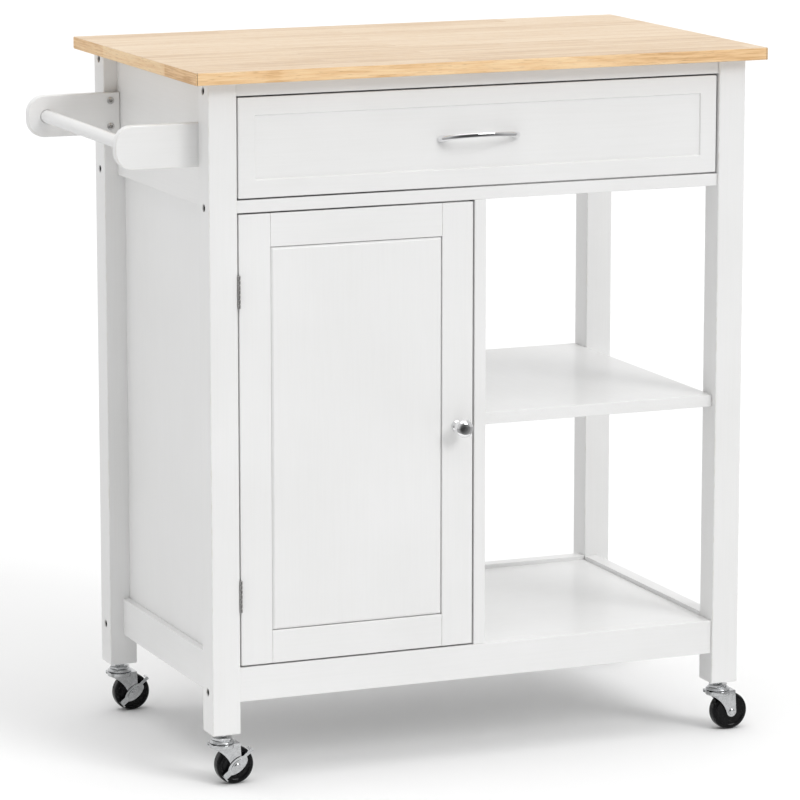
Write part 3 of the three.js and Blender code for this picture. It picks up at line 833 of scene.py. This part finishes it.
def about_axle(place):
    """Z of the shape turned to face -Y, with its middle on the axle."""
    return place @ Matrix.Translation((AXLE_TRAIL, 0, AXLE_HEIGHT)) @ Matrix.Rotation(math.pi / 2, 4, "X")


def caster_head(name, place):
    """The stem, its nut, the ball cup and the king pin under it."""
    stem_top = 94
    profile = [(0, 46.4), (3.2, 46.4), (4.4, 47.4), (4.4, 48.9), (2.7, 48.9), (2.7, 51.3), (14.2, 51.3),
               (15.4, 52.3), (15.3, 53.2), (13.2, 55.3), (6, 55.3), (6, 64), (4.4, 64), (4.4, stem_top),
               (0, stem_top)]
    head = add(name, lathe(rounded(profile, 0.45, closed=False, steps=3), 72), ZINC, place)
    nut_profile = [(0, 55.1), (12.2, 55.1), (13, 55.7), (13, 58.2), (11.9, 59), (0, 59)]
    nut = add("nut", lathe(nut_profile, 6), ZINC, place)
    return soften(combine(head, [nut], "UNION"), 0.25 * MM)


def caster_fork(name, place, braked):
    """Two cheeks and a bridge under a round skirt, with the riveted axle through them."""
    tip = 6.5
    lean = 0.4
    waist = Vector((4, 38.5))
    heel = Vector((-15, 47))
    outline = [(-15, BRIDGE_TOP), (AXLE_TRAIL + 5, BRIDGE_TOP), (AXLE_TRAIL + tip, AXLE_HEIGHT)]
    outline += arc((AXLE_TRAIL, AXLE_HEIGHT), tip, 0, -math.pi + lean, 24)[1:]
    start = Vector(outline[-1])
    steps = 16
    outline += [bend(start, waist, heel, i / steps) for i in range(1, steps + 1)]
    shell = add(name, prism(outline, 1, -CHEEK_OUTER, CHEEK_OUTER), ZINC, place)
    skirt_profile = rounded(cylinder(15.6, 45.5, BRIDGE_TOP), 1.3, closed=False)
    skirt = add("skirt", lathe(skirt_profile, 72), ZINC, place)
    hollow = lathe(cylinder(14.2, 40, BRIDGE_BOTTOM), 72)
    for piece, gap_start in ((shell, -30), (skirt, 0)):
        gap = box_mesh((gap_start, -CHEEK_INNER, 0), (60, CHEEK_INNER, BRIDGE_BOTTOM))
        combine(piece, [add("gap", gap, ZINC, place)])
    combine(skirt, [add("hollow", hollow, ZINC, place)])
    combine(shell, [skirt], "UNION")
    combine(shell, [add("bore", lathe(cylinder(3, 40, 60), 40), ZINC, place)])
    far = CHEEK_OUTER + 1.4
    near = far + (2.2 if braked else 0)
    rivet = [(0, -far), (2.4, -far), (4, -far + 0.9), (4, -CHEEK_OUTER), (2.8, -CHEEK_OUTER),
             (2.8, near - 1.4), (4, near - 1.4), (4, near - 0.9), (2.4, near), (0, near)]
    axle = add("axle", lathe(rounded(rivet, 0.35, closed=False, steps=3), 40), ZINC, about_axle(place))
    return combine(soften(shell, 0.35 * MM), [axle], "UNION")


def caster_wheel(name, place):
    """A solid wheel with a rounded tread, a shallow dish in each side and a plain bore."""
    half = 9
    side = [(3.2, half), (8, half), (9, half - 0.9), (16.8, half - 0.9), (17.8, half), (20.4, half),
            (22.6, half - 1.8), (23.5, half - 4.6)]
    profile = [(r, -z) for r, z in side] + side[::-1]
    return add(name, lathe(rounded(profile, 1.1, steps=3), 96), BLACK, about_axle(place))


def brake_lever(name, place):
    """An oval stamped plate with a raised middle, a flange over the tread and a toe lip."""
    inner = -CHEEK_OUTER - 0.3
    outer = inner - 1.4
    axle = Matrix.Translation((AXLE_TRAIL, 0, AXLE_HEIGHT))
    turned_up = place @ axle @ Matrix.Rotation(-BRAKE_TILT, 4, "Y")
    lever = add(name, prism(oval(15, 7.8, 1), 1, outer, inner), ZINC, turned_up)
    # The shapes that are joined on differ by this much, so that no two faces coincide.
    nip = 0.06
    shapes = [
        prism(oval(10, 4.9, 1), 1, outer - 0.7, inner - nip),
        box_mesh((10, outer + nip, 0.4), (26.8, inner - nip, 4.4)),
        box_mesh((24.4, outer + nip * 2, 3), (26.74, -2.5, 4.34)),
        box_mesh((-21.5, outer + nip, -3.6), (-8, inner - nip, 3.6)),
        box_mesh((-21.44, outer - 4, -4.5), (-20.1, inner - nip * 2, 4.5)),
    ]
    combine(lever, [add("stamping", shape, ZINC, turned_up) for shape in shapes], "UNION")
    bore = prism(oval(3.1, 3.1, steps=40), 1, -20, 20)
    combine(lever, [add("bore", bore, ZINC, turned_up)])
    return soften(lever, 0.4 * MM, 3)


def make_casters():
    for corner in ("front_left", "back_left", "front_right", "back_right"):
        low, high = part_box(f"caster_{corner}_head")
        place = in_place((low.x + high.x) / 2, (low.y + high.y) / 2)
        prefix = f"caster_{corner}_"
        braked = prefix + "brake" in BODY_OF
        settle_for(caster_head(prefix + "stem_and_cup", place), prefix + "head")
        settle_for(caster_fork(prefix + "yoke", place, braked), prefix + "fork")
        settle_for(caster_wheel(prefix + "tyre", place), prefix + "wheel")
        if braked:
            settle_for(brake_lever(prefix + "pedal", place), prefix + "brake")


# ---------------------------------------------------------------- studio

def make_world():
    """A pale room, brightest behind the cart and dark in front of it, and dimmer below the horizon."""
    world = bpy.data.worlds.new("studio")
    bpy.context.scene.world = world
    world.use_nodes = True
    tree = world.node_tree
    background = tree.nodes["Background"]
    direction = tree.nodes.new("ShaderNodeTexCoord").outputs["Generated"]
    parts = tree.nodes.new("ShaderNodeSeparateXYZ")
    tree.links.new(direction, parts.inputs[0])
    place = tree.nodes.new("ShaderNodeMapRange")
    tree.links.new(parts.outputs["Y"], place.inputs["Value"])
    place.inputs["From Min"].default_value = -1
    level = tree.nodes.new("ShaderNodeValToRGB")
    tree.links.new(place.outputs["Result"], level.inputs["Fac"])
    levels = ((0.02, 0.09), (0.2, 0.62), (0.64, 0.70), (0.9, 1.0))
    set_stops(level, [(at, (strength, strength, strength)) for at, strength in levels])
    below = tree.nodes.new("ShaderNodeMapRange")
    tree.links.new(parts.outputs["Z"], below.inputs["Value"])
    for socket, value in (("From Min", -0.03), ("From Max", 0.02), ("To Min", 0.6), ("To Max", 1.0)):
        below.inputs[socket].default_value = value
    tree.links.new(level.outputs["Color"], background.inputs["Color"])
    tree.links.new(below.outputs["Result"], background.inputs["Strength"])


def from_front(azimuth, elevation):
    """A direction. Azimuth 0 is straight in front of the cart, and positive is to the right."""
    azimuth, elevation = math.radians(azimuth), math.radians(elevation)
    return Vector((
        math.sin(azimuth) * math.cos(elevation),
        -math.cos(azimuth) * math.cos(elevation),
        math.sin(elevation),
    ))


def soft_sun(name, azimuth, elevation, strength, softness):
    """A distant round light, with its width in degrees."""
    light = bpy.data.lights.new(name, "SUN")
    light.energy = strength
    light.angle = math.radians(softness)
    holder = bpy.data.objects.new(name, light)
    holder.rotation_euler = from_front(azimuth, elevation).to_track_quat("Z", "Y").to_euler()
    bpy.context.scene.collection.objects.link(holder)


def make_floor():
    """A round floor under the cart, and a wide ring round it that polished metal doesn't mirror."""
    material = pale_floor()
    near = 0.6
    far = 40
    segments = 96
    bm = bmesh.new()
    bmesh.ops.create_circle(bm, cap_ends=True, radius=near, segments=segments)
    add("floor", bm, material)
    rings = []
    for radius in (near, far):
        rings.append([(radius * math.cos(a), radius * math.sin(a), 0) for a in full_turn(segments)])
    surround = add("floor_surround", rings_mesh(rings, False, False), material)
    surround.visible_glossy = False


def make_camera():
    back = from_front(VIEW_AZIMUTH, VIEW_ELEVATION)
    data = bpy.data.cameras.new("camera")
    data.lens = VIEW_LENS
    data.sensor_width = 36
    holder = bpy.data.objects.new("camera", data)
    holder.location = VIEW_AIM + back * VIEW_DISTANCE
    holder.rotation_euler = (-back).to_track_quat("-Z", "Y").to_euler()
    bpy.context.scene.collection.objects.link(holder)
    bpy.context.scene.camera = holder


make_worktop()
make_legs()
make_carcass_boards()
make_shelf_pins()
make_drawer_front()
make_drawer_box()
make_pull()
make_door()
make_knob()
make_hinges()
make_runners_and_catch()
make_rack()
make_casters()

make_world()
soft_sun("key_light", azimuth=27, elevation=33, strength=1.12, softness=24)
soft_sun("top_light", azimuth=0, elevation=80, strength=1.0, softness=60)
make_floor()
make_camera()
bpy.context.scene.view_settings.view_transform = "Standard"
